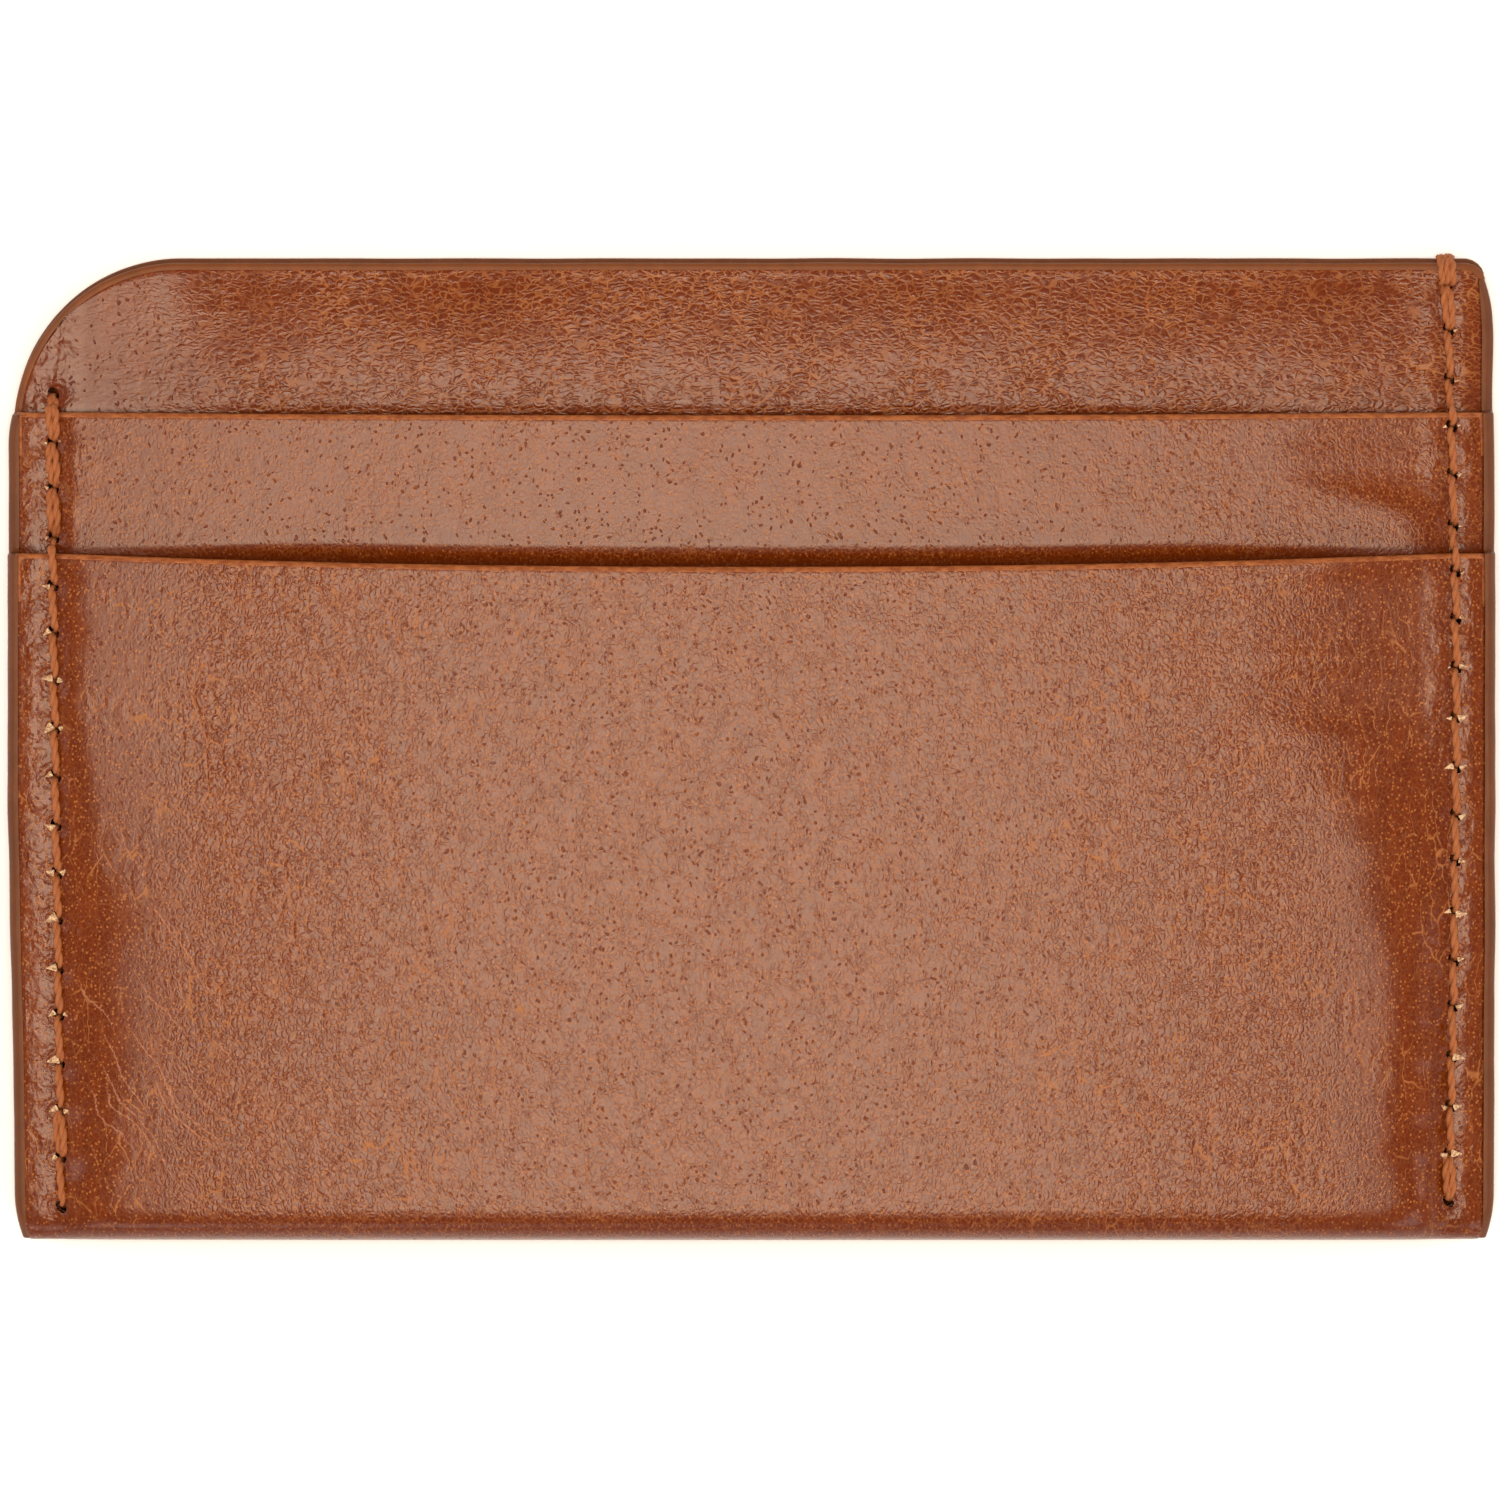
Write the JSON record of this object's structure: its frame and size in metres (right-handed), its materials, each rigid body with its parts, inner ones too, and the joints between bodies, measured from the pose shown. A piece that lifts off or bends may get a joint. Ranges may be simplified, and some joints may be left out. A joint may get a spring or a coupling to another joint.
{
  "type": "leather card holder",
  "caption": "Slim stitched leather card holder: folded back and front pocket, a middle pocket, and a top pocket with one rounded corner.",
  "frame": {"origin": "centre of the back's flat face, halfway up the height", "axes": "+X across the width, to the right as the front is looked at; +Y up the face, from the fold to the open top; +Z out of the front"},
  "size_m": [0.102, 0.0678, 0.0062],
  "materials": {
    "leather": "glossy, full grain, tan",
    "thread": "waxed two-ply twist",
    "edge_paint": "rounded bead, semi-gloss"
  },
  "bodies": {
    "root": {"outer_shell": "leather", "inner_panel": "leather", "middle_pocket_panel": "leather", "left_seam_thread": "thread", "right_seam_thread": "thread", "pocket_floor_thread": "thread", "left_edge_paint": "edge_paint", "right_edge_paint": "edge_paint", "inner_panel_edge_paint": "edge_paint", "back_edge_paint": "edge_paint"}
  },
  "joints": []
}
